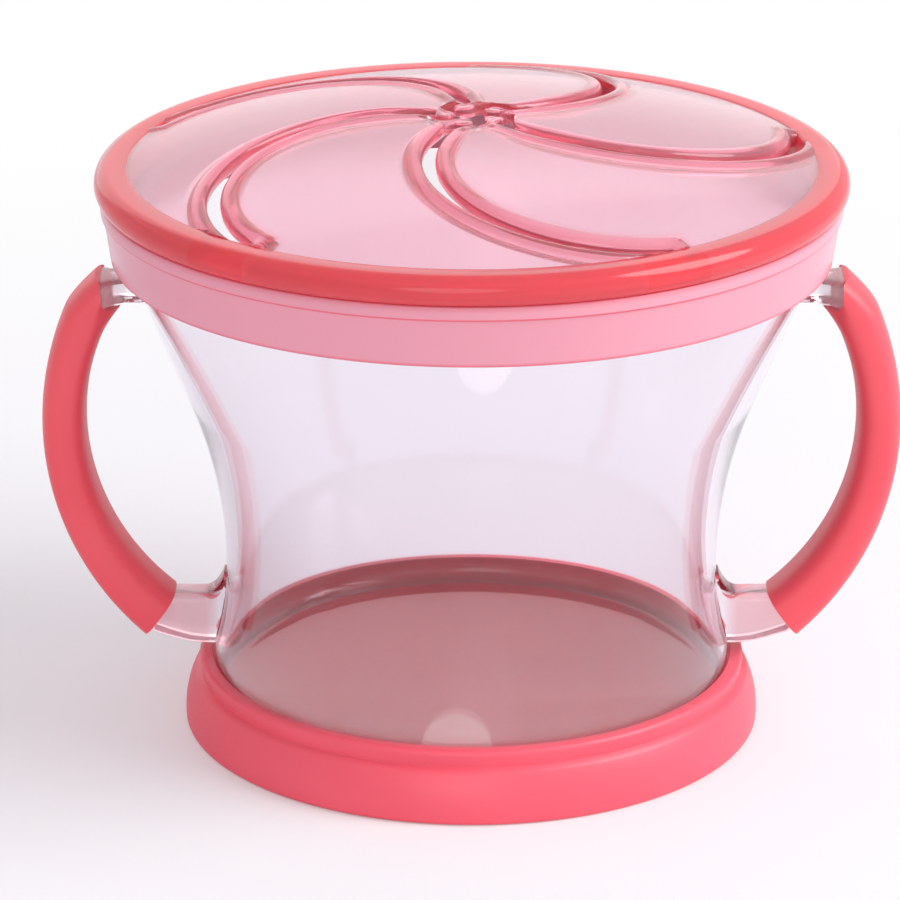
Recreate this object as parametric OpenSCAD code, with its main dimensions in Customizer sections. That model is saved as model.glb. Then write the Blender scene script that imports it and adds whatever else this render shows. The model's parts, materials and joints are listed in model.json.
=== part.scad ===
// Toddler snack cup: a clear waisted cup with two gripped handles, a soft foot ring,
// and a push-on lid whose soft domed top is slit into five curved flaps.
// Millimetres. +Z is up, the origin is at the middle of the foot, the handles lie along X.

/* [Cup] */
// Height of the cup's rim above the table
cup_h = 73.5; // [68:0.5:82]
// Outer radius of the straight neck under the lid
neck_r = 46.3; // [44:0.1:48]
// Height at which the flared wall turns into the neck
neck_z = 67.5; // [64:0.5:69]
// Outer radius of the waist
waist_r = 33.35; // [30:0.05:36]
// Height of the waist
waist_z = 22.5; // [19:0.5:26]
// Slope of the flared wall, sideways per unit of height
flare_slope = 0.4; // [0.36:0.01:0.44]
// Radius of the curve from the waist down to the foot
foot_curve_r = 38; // [30:1:50]
// Wall thickness
wall = 1.8; // [1.2:0.1:2.4]
// Thickness of the cup's floor
floor_t = 2; // [1.2:0.1:3]
// Height of the underside of the floor
floor_z = 4.5; // [3.5:0.25:6]
// Height of the snap bead round the neck, below the rim
snap_drop = 3; // [2:0.25:4]
// How far the snap bead stands out
snap_out = 0.35; // [0.2:0.05:0.4]

/* [Foot ring] */
// Height of the soft foot ring
ring_h = 9.8; // [9:0.1:12]
// How far the foot ring stands out round the cup's foot
ring_out = 3.1; // [2.4:0.1:6]
// Thickness of the foot ring's top lip
ring_lip_t = 0.8; // [0.5:0.1:1.2]
// How far the ring's flare curves in towards its top
flare_in = 1.6; // [1:0.1:2]
// Rounding of the ring's standing edge
ring_edge = 0.8; // [0.4:0.1:1.2]
// Thickness of the sole under the cup's foot
sole_t = 1.6; // [1:0.1:2.5]
// Width of the band that the sole stands on
sole_w = 6; // [3:0.5:12]
// How far the sole's middle is raised inside that band
sole_rise = 0.8; // [0.4:0.1:1.2]
// Clearance round the pad that fills the hollow under the cup's floor
pad_gap = 0.1; // [0.05:0.05:0.3]

/* [Handles] */
// Distance from the outside of one grip to the outside of the other
handle_span = 115.8; // [112:0.2:122]
// Height of the grip's widest point
grip_z = 42.4; // [41:0.1:44]
// Radius of the grip's outer curve
grip_outer_r = 41; // [39:0.5:44]
// Radius of the grip's inner curve
grip_inner_r = 32; // [31:0.5:33]
// Thickness of the grip at its widest point
grip_t = 5.9; // [5.4:0.1:7]
// Width of the grip, along Y
grip_w = 10; // [8:0.5:14]
// Rounding of the grip's edges
grip_round = 2.9; // [1.5:0.1:3]
// Thickness of the soft skin over the handle's core
grip_skin = 1.5; // [1:0.1:1.8]
// Width of the handle's core inside the grip
core_w = 5.4; // [4:0.2:7]
// Height of the upper arm's underside
upper_arm_z = 59.6; // [58.4:0.2:60]
// Thickness of the upper arm
upper_arm_t = 2.8; // [2:0.1:3.2]
// Width of the upper arm
upper_arm_w = 6; // [4:0.2:8]
// Height of the lower arm's underside
lower_arm_z = 11.6; // [11:0.1:13]
// Thickness of the lower arm
lower_arm_t = 6.4; // [5:0.1:6.6]
// How far the lower arm's underside drops towards the wall
arm_drop = 1; // [0:0.1:1.2]
// Fillet of the lower arm where it meets the wall
arm_fillet = 2.4; // [1:0.1:4]
// How far the grip's upper end lies in from its outside
mouth_in = 8.5; // [8:0.1:9.5]
// How far the grip's upper end stands above the upper arm
mouth_up = 1.1; // [0.8:0.1:2]
// How far the grip's lower end lies in from its outside
toe_in = 14.9; // [14:0.1:16]
// How far the grip's lower end reaches back over the lower arm
toe_l = 2.8; // [2:0.1:3.4]
// Height of the grip's lower end above the lower arm
toe_up = 2.2; // [1.6:0.1:3]

/* [Lid ring] */
// Height of the lid's side below its shelf
skirt_h = 7.2; // [6:0.1:8]
// Thickness of the lid's side at its lower edge
skirt_t = 1; // [0.8:0.1:1.6]
// Draft of the side: how much wider it is at the top
skirt_draft = 0.9; // [0:0.1:1.2]
// Height of the small step under the soft bead
step_h = 1.9; // [1:0.1:3]
// How far the step stands out
step_out = 0.35; // [0.1:0.05:0.6]
// Thickness of the shelf that rests on the cup's rim
shelf_t = 1.2; // [0.8:0.1:1.8]
// Width of the upright rib that holds the soft bead
rib_w = 1.9; // [1.2:0.1:2.2]
// Height of that rib
rib_h = 2.3; // [1.5:0.1:2.5]
// Clearance between the cup's snap bead and the lid's side
lid_gap = 0.45; // [0.3:0.05:0.6]
// Clearance between the cup's rim and the lid's shelf
seat_gap = 0.3; // [0.2:0.05:0.5]

/* [Soft top] */
// Section radius of the soft bead round the lid
bead_r = 2.08; // [2.08:0.02:2.2]
// Height of the bead above the shelf
bead_h = 3.9; // [3.7:0.1:4.2]
// Width of the flat ring inside the bead's round
bead_flat = 2.57; // [2.4:0.01:2.8]
// How far that ring reaches in past the cup's neck
bead_inset = 0.8; // [0.4:0.1:1.2]
// Rise of the domed flaps above the bead
dome_h = 6.6; // [4:0.2:9]
// Thickness of a flap
leaf_t = 1; // [0.8:0.1:1.4]
// Width of the slits
slit_w = 1.7; // [1.2:0.1:2.4]
// How far each slit's curve runs past the ring inside the bead
slit_over = 1.05; // [0.6:0.05:1.4]
// Distance by which it misses the middle of the lid
slit_miss = 1.15; // [0.9:0.05:1.6]
// Direction of the first slit's curve centre, from +X
slit_dir = 243.6; // [0:0.1:359]
// Width of the thick lip along each slit
lip_w = 2.2; // [1.6:0.1:2.8]
// How far a lip stands above the flap
lip_up = 0.35; // [0.2:0.05:0.6]
// Depth of a lip below the flap's face
lip_down = 2.1; // [1.5:0.1:2.2]
// Radius of the rounded knob at a flap's tip
tip_r = 1.3; // [1.1:0.1:1.5]
// Width of the neck behind a knob
neck_w = 2; // [1.6:0.1:2.1]
// Distance of the knobs from the lid's middle
tip_x = 3.6; // [3.5:0.1:4]
// Direction of a knob, counted from its slit's curve centre
tip_turn = 9; // [4:1:14]
// How far the neck turns back from the knob
neck_turn = 38; // [30:1:44]
// How much further out the neck starts
neck_run = 1.6; // [1.2:0.1:2]
// Clearance round a knob
tip_gap = 1.7; // [1.2:0.1:1.9]
// Width of the solid blocks that tie the bead at each slit
block_w = 9; // [6:0.5:12]
// Radius of the round bending line at a flap's root
bend_r = 2.4; // [2.2:0.1:2.8]
// Clearance at the bending line
bend_gap = 0.3; // [0.2:0.05:0.4]
// Distance from the ring inside the bead to a flap's bending line
bend_inset = 9.9; // [9.3:0.1:10.5]
// Direction of the bending line, counted from the outer end of the flap's slit
bend_turn = 33.5; // [31:0.5:36]
// Radius of the small opening where the flaps' tips meet
hub_r = 2.3; // [2:0.1:2.6]

/* [Hidden] */
$fn = 128;
arc_steps = 16;
flap_count = 5;
flap_turn = 360 / flap_count;
cut = 1;
reach = 400;

// Cup profile: an arc below the waist, an arc above it, then a straight flare up to the neck.
flare_angle = atan(flare_slope);
flare_arc_r = (waist_r + flare_slope * (neck_z - waist_z) - neck_r)
    / (flare_slope * sin(flare_angle) + cos(flare_angle) - 1);
foot_tuck = 1.5;
foot_z = ring_h - foot_tuck;
foot_r = waist_r + foot_curve_r - sqrt(pow(foot_curve_r, 2) - pow(waist_z - foot_z, 2));
ring_r = foot_r + ring_out;
ring_lip_r = foot_r + ring_lip_t;
lip_h = 2.5;
lip_round = 0.7;
lip_proud = 0.3;
groove_out = 0.2;
groove_h = 0.6;
snap_z = cup_h - snap_drop;
snap_h = 1.2;

// Handle curves: eccentric circles, set apart so that the grip is grip_t thick at its widest point.
grip_outer_x = handle_span / 2 - grip_outer_r;
grip_inner_x = handle_span / 2 - grip_t - grip_inner_r;
inner_rise = 0.4;
grip_inner_z = grip_z + inner_rise;
mouth_x = handle_span / 2 - mouth_in;
arm_end_x = handle_span / 2 - toe_in;
grip_top_z = upper_arm_z + upper_arm_t + mouth_up;
heel_l = 2.5;
heel_drop = 0.3;
facet_w = 1.6;
facet_drop = 1.3;
toe_round = 0.8;
core_inset = 1;
core_toe_up = 1.6;
core_back = 8;
core_up = 12;
arm_start = 10;
tab_in = 2;
tab_out = 1;
tab_low = 0.8;
arm_flat = 3.5;
arm_slope = 3;
arm_lift = 0.6;
fillet_lap = 0.4;

// Lid heights, counted up from the cup's rim.
shelf_z = cup_h + seat_gap + shelf_t;
skirt_in_r = neck_r + snap_out + lid_gap;
skirt_out_r = skirt_in_r + skirt_t;
bead_top_z = shelf_z + bead_h;
bead_inner_r = neck_r - bead_inset;
bead_x = bead_inner_r + bead_flat;
rib_shift = 0.6;
rib_x = bead_x - rib_shift;
shelf_lap = 0.4;
notch_gap = 0.4;
dome_r = (pow(bead_inner_r, 2) + pow(dome_h, 2)) / (2 * dome_h);
dome_z = bead_top_z + dome_h - dome_r;
web_lap = 0.6;
web_out_r = bead_inner_r + web_lap;

// Slit circles and the bending line, in the frame of the first slit.
slit_r = (bead_inner_r + slit_over - slit_miss) / 2;
slit_c = slit_r + slit_miss;
slit_end = slit_dir - acos((pow(bead_inner_r, 2) + pow(slit_c, 2) - pow(slit_r, 2))
    / (2 * bead_inner_r * slit_c));
bend_dir = slit_end + bend_turn;
bend_dist = bead_inner_r - bend_inset;
bend_margin = 8;
bend_depth = 0.7;

// Ends of the bending line, in a frame turned to bend_dir: where it meets the flap's own slit
// and the next one. It slopes with the dome, so its height is taken at both ends.
own_c = slit_c * [cos(slit_dir - bend_dir), sin(slit_dir - bend_dir)];
next_c = slit_c * [cos(slit_dir + flap_turn - bend_dir), sin(slit_dir + flap_turn - bend_dir)];
bend_from = own_c.y - sqrt(pow(slit_r - slit_w / 2, 2) - pow(bend_dist - own_c.x, 2));
bend_to = next_c.y - sqrt(pow(slit_r + slit_w / 2, 2) - pow(bend_dist - next_c.x, 2));
bend_mid = (bend_from + bend_to) / 2;
bend_rise = dome_at(bend_dist, bend_to) - dome_at(bend_dist, bend_from);
bend_tilt = atan(bend_rise / (bend_to - bend_from));
bend_z = (dome_at(bend_dist, bend_to) + dome_at(bend_dist, bend_from)) / 2
    - leaf_t * bend_depth;

tip_dir = slit_dir + tip_turn;
neck_dir = tip_dir - neck_turn;
neck_x = tip_x + neck_run;

// Height of the dome's face above the point x, y.
function dome_at(x, y) = dome_z + sqrt(pow(dome_r, 2) - x * x - y * y);

function arc(cx, cz, r, from, to) =
    [for (i = [0 : arc_steps]) let (a = from + (to - from) * i / arc_steps)
        [cx + r * cos(a), cz + r * sin(a)]];

// Outline of the wall at the distance inset inside the cup's face, from the foot to the rim.
function wall_line(inset) = concat(
    [[foot_r - inset, sole_t]],
    arc(waist_r + foot_curve_r - inset, waist_z, foot_curve_r,
        180 + asin((waist_z - foot_z) / foot_curve_r), 180),
    arc(waist_r + flare_arc_r - inset, waist_z, flare_arc_r, 180 - flare_angle / arc_steps,
        180 - flare_angle),
    [[neck_r - inset, neck_z], [neck_r - inset, cup_h]]);

module wall_solid(inset, low, high) {
    intersection() {
        rotate_extrude() polygon(concat([[0, sole_t]], wall_line(inset), [[0, cup_h]]));
        translate([0, 0, low]) cylinder(r = reach, h = high - low);
    }
}

// Ring of rectangular section, used for beads, ribs and channels.
module band(inner_r, outer_r, low, high) {
    rotate_extrude() translate([inner_r, low]) square([outer_r - inner_r, high - low]);
}

module snap_bead() {
    rotate_extrude() polygon([[neck_r - wall / 2, snap_z - snap_h], [neck_r, snap_z - snap_h],
        [neck_r + snap_out, snap_z - snap_h / 3], [neck_r + snap_out, snap_z + snap_h / 3],
        [neck_r, snap_z + snap_h], [neck_r - wall / 2, snap_z + snap_h]]);
}

// Extrudes a shape drawn in X and Z to the width w, centred on Y = 0.
module across(w) {
    rotate([90, 0, 0]) linear_extrude(w, center = true) children();
}

module grip_span() {
    toe_top = lower_arm_z + lower_arm_t;
    polygon([[mouth_x, grip_top_z], [mouth_x, upper_arm_z - heel_drop],
        [mouth_x - heel_l, upper_arm_z - 2 * heel_drop],
        [grip_inner_x, upper_arm_z - heel_l], [grip_inner_x, grip_inner_z],
        [arm_end_x - toe_l, toe_top + toe_up], [arm_end_x - toe_l, toe_top + toe_round / 4],
        [arm_end_x + toe_round, lower_arm_z + toe_round],
        [arm_end_x + 3 * toe_round, lower_arm_z + toe_round / 3],
        [handle_span, lower_arm_z], [handle_span, grip_top_z - 2 * facet_drop],
        [mouth_x + 2 * facet_w, grip_top_z - facet_drop], [mouth_x + facet_w, grip_top_z]]);
}

// The moulded bar inside a grip: the grip's own curves, one skin further in.
module core_bar() {
    across(core_w) intersection() {
        difference() {
            translate([grip_outer_x, grip_z]) circle(grip_outer_r - grip_skin);
            translate([grip_inner_x, grip_inner_z]) circle(grip_inner_r + grip_skin);
        }
        polygon([[mouth_x - cut, upper_arm_z + upper_arm_t],
            [handle_span, upper_arm_z + upper_arm_t], [handle_span, lower_arm_z],
            [arm_end_x - core_inset, lower_arm_z + core_toe_up],
            [mouth_x - core_back, lower_arm_z + core_up], [mouth_x - cut, upper_arm_z - core_up]]);
    }
}

module upper_arm() {
    start_x = neck_r - arm_start;
    arm_top = upper_arm_z + upper_arm_t;
    across(upper_arm_w) translate([start_x, upper_arm_z])
        square([mouth_x + heel_l - start_x, upper_arm_t]);
    across(upper_arm_w) polygon([[mouth_x - tab_in, arm_top], [mouth_x + tab_out, arm_top],
        [mouth_x + tab_out, grip_top_z - tab_low], [mouth_x - tab_out / 2, grip_top_z - tab_low]]);
}

// Lower arm: its top meets the wall in a fillet, and its underside drops towards the foot.
module lower_arm() {
    root_x = waist_r - wall;
    top_z = lower_arm_z + lower_arm_t;
    across(core_w) {
        polygon([[root_x, lower_arm_z - arm_drop], [waist_r + arm_flat, lower_arm_z - arm_drop],
            [waist_r + arm_flat + arm_slope, lower_arm_z - arm_drop / 3],
            [arm_end_x, lower_arm_z + arm_lift], [arm_end_x, top_z], [root_x, top_z]]);
        difference() {
            translate([root_x, top_z]) square([wall + fillet_lap + arm_fillet, arm_fillet]);
            translate([waist_r + fillet_lap + arm_fillet, top_z + arm_fillet]) circle(arm_fillet);
        }
    }
}

module handle_core() {
    core_bar();
    upper_arm();
    lower_arm();
}

module cup() {
    color([0.95, 0.92, 0.95, 0.4]) difference() {
        union() {
            wall_solid(0, sole_t, cup_h);
            snap_bead();
            handle_core();
            mirror([1, 0, 0]) handle_core();
        }
        wall_solid(wall, floor_z + floor_t, cup_h + cut);
        translate([0, 0, cup_h - cut]) cylinder(r = neck_r - wall, h = 2 * cut);
        wall_solid(wall, sole_t - cut, floor_z);
        translate([0, 0, sole_t - cut]) cylinder(r = foot_r - wall, h = 2 * cut);
    }
}

// Soft ring moulded round the cup's foot: a thin lip, a groove, then a rounded flare. Its sole
// goes right across, with a pad up to the cup's floor.
module base_ring() {
    flare_from = 2 * ring_edge - lip_round / 7;
    flare_to = ring_h - lip_h;
    flare_r = (pow(flare_to - flare_from, 2) + pow(flare_in, 2)) / (2 * flare_in);
    color([0.96, 0.42, 0.47]) {
        difference() {
            rotate_extrude() polygon(concat(
                [[foot_r - sole_w, 0]],
                arc(ring_r - ring_edge, ring_edge, ring_edge, -90, 0),
                arc(ring_r - flare_r, flare_from, flare_r, 0, asin((flare_to - flare_from) / flare_r)),
                [[ring_lip_r + groove_out, flare_to + groove_h / 2],
                 [ring_lip_r + groove_out, flare_to + groove_h]],
                arc(ring_lip_r + lip_proud - lip_round, ring_h - lip_round, lip_round, 0, 90),
                [[waist_r, ring_h], [waist_r, sole_t], [foot_r - sole_w, sole_t]]));
            wall_solid(0, sole_t, cup_h);
            translate([0, 0, sole_t]) cylinder(r = foot_r, h = foot_z - sole_t);
        }
        translate([0, 0, sole_rise]) cylinder(r = foot_r - wall - pad_gap, h = floor_z - sole_rise);
    }
}

// One grip: the outline of two eccentric arcs, with both long edges rounded by revolves.
module grip() {
    color([0.93, 0.3, 0.36]) difference() {
        intersection() {
            across(grip_w) intersection() {
                difference() {
                    translate([grip_outer_x, grip_z]) circle(grip_outer_r);
                    translate([grip_inner_x, grip_inner_z]) circle(grip_inner_r);
                }
                grip_span();
            }
            translate([grip_outer_x, 0, grip_z]) rotate([90, 0, 0])
                rotate_extrude() grip_section(grip_outer_r, 1);
            translate([grip_inner_x, 0, grip_inner_z]) rotate([90, 0, 0])
                rotate_extrude() grip_section(grip_inner_r, -1);
        }
        handle_core();
    }
}

// Half section of a rounding revolve. side = 1 rounds the edges at radius r, side = -1 rounds
// them at radius r seen from inside the curve.
module grip_section(r, side) {
    half = grip_w / 2;
    far = side > 0 ? 0 : 2 * r;
    polygon(concat(
        [[far, -half]],
        [for (i = [0 : arc_steps]) let (a = -90 + 90 * i / arc_steps)
            [r - side * grip_round * (1 - cos(a)), -half + grip_round + grip_round * sin(a)]],
        [for (i = [0 : arc_steps]) let (a = 90 * i / arc_steps)
            [r - side * grip_round * (1 - cos(a)), half - grip_round + grip_round * sin(a)]],
        [[far, half]]));
}

module left_grip() {
    mirror([1, 0, 0]) grip();
}

module right_grip() {
    grip();
}

// Rigid ring of the lid: side, shelf and the rib that the soft bead is moulded over.
module lid_skirt() {
    top_r = skirt_out_r + skirt_draft;
    color([0.97, 0.6, 0.68, 0.8]) difference() {
        union() {
            rotate_extrude() polygon([
                [skirt_in_r, shelf_z - shelf_t - skirt_h], [skirt_out_r, shelf_z - shelf_t - skirt_h],
                [top_r, shelf_z - step_h], [top_r + step_out, shelf_z - step_h + step_out],
                [top_r + step_out, shelf_z], [bead_inner_r - shelf_lap, shelf_z],
                [bead_inner_r - shelf_lap, shelf_z - shelf_t], [skirt_in_r, shelf_z - shelf_t]]);
            band(rib_x - rib_w / 2, rib_x + rib_w / 2, shelf_z - cut, shelf_z + rib_h);
        }
        rib_notches(block_w + notch_gap);
    }
}

// Gaps in the rib, one at each slit, where the soft bead is solid.
module rib_notches(w) {
    for (k = [0 : flap_count - 1])
        rotate(slit_end + k * flap_turn)
            translate([rib_x - rib_w / 2 - cut, -w / 2, shelf_z])
                cube([rib_w + 2 * cut, w, rib_h + cut]);
}

// Region of flap k seen from above: inside its own slit circle or its own sector, and outside
// the next slit circle, with a hooked finger at the tip and room for the finger before it.
// inset draws the edges back by that much.
module flap_region(k, inset) {
    rotate(k * flap_turn) difference() {
        union() {
            difference() {
                union() {
                    rotate(slit_dir) translate([slit_c, 0]) circle(slit_r - slit_w / 2 - inset);
                    sector(slit_end + inset * 1.5, slit_end + flap_turn);
                }
                rotate(slit_dir + flap_turn) translate([slit_c, 0]) circle(slit_r + slit_w / 2 + inset);
                circle(hub_r);
            }
            if (inset == 0) finger(0);
        }
        rotate(-flap_turn) finger(tip_gap + inset);
    }
}

// Outline of the hooked finger at the first flap's tip, widened by grow.
module finger(grow) {
    tip = tip_x * [cos(tip_dir), sin(tip_dir)];
    root = neck_x * [cos(neck_dir), sin(neck_dir)];
    run = root - tip;
    translate(tip) {
        circle(tip_r + grow);
        rotate(atan2(run.y, run.x)) translate([0, -neck_w / 2 - grow])
            square([norm(run), neck_w + 2 * grow]);
    }
}

module sector(from, to) {
    far = 2 * bead_inner_r;
    mid = (from + to) / 2;
    polygon([[0, 0], far * [cos(from), sin(from)], far * [cos(mid), sin(mid)],
        far * [cos(to), sin(to)]]);
}

// Layer between two spheres that share the dome's centre, over a flat region.
module dome_layer(up, down) {
    difference() {
        intersection() {
            translate([0, 0, shelf_z]) linear_extrude(bead_h + dome_h + cut) intersection() {
                children();
                circle(web_out_r);
            }
            translate([0, 0, dome_z]) sphere(dome_r + up);
        }
        translate([0, 0, dome_z]) sphere(dome_r - down);
    }
}

// Whole leaf k with its root: a thin sheet with a thick lip along both slits and round the tip.
module leaf(k) {
    dome_layer(0, leaf_t) flap_region(k, 0);
    dome_layer(lip_up, lip_down) difference() {
        flap_region(k, 0);
        flap_region(k, lip_w);
    }
}

// Everything on the free side of flap k's bending line, ending in a round barrel of radius r.
module free_side(k, r) {
    barrel_l = bend_to - bend_from + 2 * bend_margin;
    rotate(bend_dir + k * flap_turn) translate([bend_dist, bend_mid, bend_z])
            rotate([bend_tilt, 0, 0]) {
        translate([-reach, -reach / 2, -reach / 2]) cube(reach);
        rotate([90, 0, 0]) cylinder(r = r, h = barrel_l, center = true);
    }
}

module flap(k) {
    color([0.96, 0.66, 0.75, 0.7]) intersection() {
        leaf(k);
        free_side(k, bend_r - bend_gap);
        cylinder(r = bead_inner_r - bend_gap, h = 2 * cup_h);
    }
}

// Soft bead with a channel for the rib, solid blocks at the slits, and the flaps' fixed roots.
module lid_rim() {
    color([0.94, 0.27, 0.33, 0.85]) {
        difference() {
            union() {
                rotate_extrude() intersection() {
                    union() {
                        translate([bead_x, bead_top_z - bead_r]) circle(bead_r);
                        translate([bead_inner_r, shelf_z]) square([bead_x - bead_inner_r, bead_h]);
                    }
                    translate([bead_inner_r, shelf_z]) square([4 * bead_r, bead_h]);
                }
                for (k = [0 : flap_count - 1])
                    difference() {
                        leaf(k);
                        free_side(k, bend_r);
                    }
            }
            difference() {
                band(rib_x - rib_w / 2, rib_x + rib_w / 2, shelf_z - cut, shelf_z + rib_h);
                rib_notches(block_w);
            }
        }
    }
}

module flap_1() { flap(0); }
module flap_2() { flap(1); }
module flap_3() { flap(2); }
module flap_4() { flap(3); }
module flap_5() { flap(4); }

cup();
base_ring();
left_grip();
right_grip();
lid_skirt();
lid_rim();
flap_1();
flap_2();
flap_3();
flap_4();
flap_5();
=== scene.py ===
import json
import math
import bmesh
import bpy
import numpy as np
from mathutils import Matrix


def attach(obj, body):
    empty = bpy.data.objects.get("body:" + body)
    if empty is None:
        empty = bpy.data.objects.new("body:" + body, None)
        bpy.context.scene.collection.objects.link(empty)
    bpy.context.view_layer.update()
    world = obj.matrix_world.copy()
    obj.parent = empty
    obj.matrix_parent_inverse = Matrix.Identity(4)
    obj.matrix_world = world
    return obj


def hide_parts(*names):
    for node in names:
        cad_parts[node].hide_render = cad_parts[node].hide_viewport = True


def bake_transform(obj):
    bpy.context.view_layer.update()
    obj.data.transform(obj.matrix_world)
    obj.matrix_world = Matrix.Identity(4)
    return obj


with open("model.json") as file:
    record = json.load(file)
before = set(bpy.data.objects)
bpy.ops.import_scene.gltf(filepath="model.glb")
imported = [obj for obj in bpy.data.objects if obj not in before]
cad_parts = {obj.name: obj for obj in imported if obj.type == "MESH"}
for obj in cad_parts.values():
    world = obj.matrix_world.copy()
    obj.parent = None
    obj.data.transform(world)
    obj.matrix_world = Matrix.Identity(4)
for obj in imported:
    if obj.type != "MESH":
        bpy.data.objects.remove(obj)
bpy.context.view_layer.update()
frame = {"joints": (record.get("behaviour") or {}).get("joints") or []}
scene = bpy.context.scene
scene.view_settings.view_transform = "Standard"
# light turns many times inside the clear plastic before it comes out
scene.cycles.max_bounces = scene.cycles.transmission_bounces = scene.cycles.glossy_bounces = 32
print("stage: frame loaded")

mm = 0.001
beadTop = 78.9         # top of the soft bead, where the dome starts, in mm like every length below
beadInner = 45.5
flapCount = 5
flapTurn = 360 / flapCount


def plug(tree, value, socket):
    if isinstance(value, Wire):
        tree.links.new(value.socket, socket)
    else:
        socket.default_value = value


class Wire:  # a socket that can stand in an expression: each operator adds one Math node
    def __init__(self, tree, socket):
        self.tree, self.socket = tree, socket

    def calc(self, operation, *values):
        node = self.tree.nodes.new("ShaderNodeMath")
        node.operation = operation
        for value, socket in zip(values, node.inputs):
            plug(self.tree, value, socket)
        return Wire(self.tree, node.outputs[0])

    def __add__(self, other):
        return self.calc("ADD", self, other)

    def __radd__(self, other):
        return self.calc("ADD", other, self)

    def __sub__(self, other):
        return self.calc("SUBTRACT", self, other)

    def __rsub__(self, other):
        return self.calc("SUBTRACT", other, self)

    def __mul__(self, other):
        return self.calc("MULTIPLY", self, other)

    def __rmul__(self, other):
        return self.calc("MULTIPLY", other, self)

    def __abs__(self):
        return self.calc("ABSOLUTE", self)

    def orMore(self, other):
        return self.calc("MAXIMUM", self, other)


class Finish:  # the nodes of one material, or of the world
    def __init__(self, owner):
        owner.use_nodes = True
        self.owner, self.tree = owner, owner.node_tree
        self.tree.nodes.clear()

    def node(self, kind, settings=None, inputs=None, out=0):
        made = self.tree.nodes.new(kind)
        for key, value in (settings or {}).items():
            setattr(made, key, value)
        for key, value in (inputs or {}).items():
            plug(self.tree, value, made.inputs[key])
        return Wire(self.tree, made.outputs[out]) if made.outputs else None

    def place(self):
        return self.node("ShaderNodeTexCoord", out="Object")

    def along(self, axis):
        return self.node("ShaderNodeSeparateXYZ", inputs={0: self.place()}, out=axis)

    def noise(self, scale, detail=3.0, stretch=None):
        where = self.place()
        if stretch:
            where = self.node("ShaderNodeMapping", inputs={"Vector": where, "Scale": stretch})
        return self.node("ShaderNodeTexNoise", inputs={"Vector": where, "Scale": scale, "Detail": detail},
                         out="Fac")

    def blend(self, factor, first, second):
        return self.node("ShaderNodeMix", {"data_type": "RGBA"}, {0: factor, 6: first, 7: second}, out=2)

    def span(self, value, low, high, toLow, toHigh, ease="LINEAR"):
        return self.node("ShaderNodeMapRange", {"interpolation_type": ease}, {
            "Value": value, "From Min": low, "From Max": high, "To Min": toLow, "To Max": toHigh})

    def bump(self, height, strength, distance):
        return self.node("ShaderNodeBump", inputs={
            "Height": height, "Strength": strength, "Distance": distance}, out="Normal")

    def surface(self, **inputs):
        names = {key.replace("_", " "): value for key, value in inputs.items()}
        return self.node("ShaderNodeBsdfPrincipled", inputs=names, out="BSDF")

    def fog(self, colour, density):
        return self.node("ShaderNodeVolumeAbsorption", inputs={"Color": (*colour, 1), "Density": density})

    def output(self, kind="Material", **inputs):
        self.node("ShaderNodeOutput" + kind, inputs=inputs)
        return self.owner


def newFinish(name):
    return Finish(bpy.data.materials.new(name))


def tint(red, green, blue, alpha=1.0):
    # display values 0 to 255, brought to the linear values that a shader takes
    flat = [v / 255 for v in (red, green, blue)]
    return (*[v / 12.92 if v <= 0.04045 else ((v + 0.055) / 1.055) ** 2.4 for v in flat], alpha)


def rounded(corners, radii, steps=5):
    # an outline whose corners are replaced by arcs: each arc is tangent to both edges
    corners = np.asarray(corners, float)
    out = []
    for spot, (corner, radius) in enumerate(zip(corners, radii)):
        before, after = corners[spot - 1], corners[(spot + 1) % len(corners)]
        if radius <= 0:
            out.append(corner[None])
            continue
        toBefore = (before - corner) / np.linalg.norm(before - corner)
        toAfter = (after - corner) / np.linalg.norm(after - corner)
        half = math.acos(max(-1, min(1, float(toBefore @ toAfter)))) / 2
        middle = toBefore + toAfter
        centre = corner + middle / np.linalg.norm(middle) * radius / math.sin(half)
        start = corner + toBefore * radius / math.tan(half) - centre
        stop = corner + toAfter * radius / math.tan(half) - centre
        first = math.atan2(start[1], start[0])
        turn = (math.atan2(stop[1], stop[0]) - first + math.pi) % (2 * math.pi) - math.pi
        angles = first + turn * np.linspace(0, 1, steps + 1)
        out.append(centre + radius * np.stack([np.cos(angles), np.sin(angles)], 1))
    return np.concatenate(out)


def arcPoints(centre, radius, start, stop, steps):
    angles = np.radians(np.linspace(start, stop, steps + 1))
    return np.stack([centre[0] + radius * np.cos(angles), centre[1] + radius * np.sin(angles)], 1)


def gridFaces(rows, columns, closeRows, closeColumns):
    i = np.arange(rows if closeRows else rows - 1)
    j = np.arange(columns if closeColumns else columns - 1)
    i, j = np.meshgrid(i, j, indexing="ij")
    nextI, nextJ = (i + 1) % rows, (j + 1) % columns
    return np.stack([i * columns + j, nextI * columns + j, nextI * columns + nextJ, i * columns + nextJ],
                    -1).reshape(-1, 4)


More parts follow.
